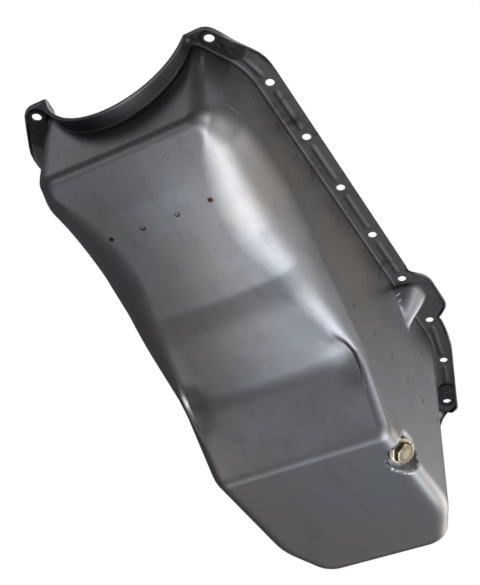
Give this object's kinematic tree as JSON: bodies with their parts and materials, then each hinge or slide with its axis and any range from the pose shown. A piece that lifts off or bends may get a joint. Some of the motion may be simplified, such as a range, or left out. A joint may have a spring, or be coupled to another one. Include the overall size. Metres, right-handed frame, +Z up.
{
  "type": "engine oil pan",
  "caption": "Deep-drawn steel oil pan with a rear sump, bolt flange, end seal arches, dipstick pocket, baffle tray and a drain plug with its gasket.",
  "frame": {"origin": "middle of the twelve evenly spaced rail bolts, on the gasket face", "axes": "+X towards the front of the engine, +Y towards the driver's side, +Z up towards the block, square to the gasket face"},
  "size_m": [0.59, 0.2688, 0.198],
  "materials": {
    "pan_steel": "bare drawn sheet, satin",
    "plate_steel": "dark bare sheet, satin",
    "insert_steel": "dark steel, satin",
    "gasket_fibre": "matt fibre",
    "plug_zinc": "yellowish zinc plating"
  },
  "bodies": {
    "pan": {"pan_shell": "pan_steel", "front_left_corner_plate": "plate_steel", "front_right_corner_plate": "plate_steel", "rear_left_corner_plate": "plate_steel", "rear_right_corner_plate": "plate_steel", "drain_insert": "insert_steel", "baffle_tray": "pan_steel"},
    "gasket": {"drain_gasket": "gasket_fibre"},
    "plug": {"drain_plug": "plug_zinc"}
  },
  "joints": [
    {"name": "plug_travel", "type": "slide", "parent": "pan", "child": "gasket", "axis": [0, 0.6691, -0.7431], "range_m": [0, 0.014]},
    {"name": "plug_turn", "type": "hinge", "parent": "gasket", "child": "plug", "pos_m": [-0.1425, 0.0848, -0.1834], "axis": [0, 0.6691, -0.7431], "range_deg": [0, 3960]}
  ],
  "couplings": [
    {"joint": "plug_travel", "follows": "plug_turn", "m_per_rad": 0.00020213}
  ]
}
